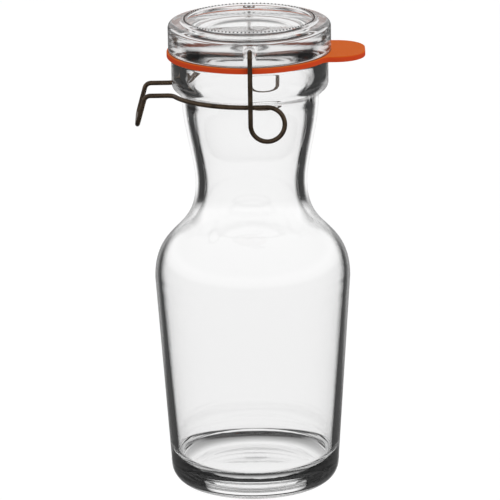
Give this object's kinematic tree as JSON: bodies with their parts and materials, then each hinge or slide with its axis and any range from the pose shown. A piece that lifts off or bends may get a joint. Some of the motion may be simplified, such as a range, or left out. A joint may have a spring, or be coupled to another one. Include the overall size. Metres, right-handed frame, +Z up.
{
  "type": "clip-top glass carafe",
  "caption": "Clear glass carafe with a flared neck and thick collar, closed by a glass lid on an orange rubber gasket under a sprung wire clip.",
  "frame": {"origin": "centre of the bottle's foot, on the surface it stands on", "axes": "+Z up along the bottle's axis, +X towards the gasket's pull tab, -X towards the clip's finger lever"},
  "size_m": [0.122, 0.1042, 0.2553],
  "materials": {
    "clear_glass": "polished clear soda-lime glass",
    "lid_glass": "polished clear pressed glass",
    "orange_rubber": "matt moulded natural rubber",
    "bronzed_wire": "dark bronze-brown drawn spring wire, satin"
  },
  "bodies": {
    "bottle": {"bottle": "clear_glass"},
    "lid": {"lid": "lid_glass", "gasket": "orange_rubber"},
    "clip": {"wire_clip": "bronzed_wire"}
  },
  "joints": [
    {"name": "lid_lift", "type": "slide", "parent": "bottle", "child": "lid", "axis": [0, 0, 1], "range_m": [0, 0.08]},
    {"name": "clip_swing", "type": "hinge", "parent": "lid", "child": "clip", "pos_m": [0, 0, 0.2459], "axis": [0, 1, 0], "range_deg": [0, 205]}
  ]
}
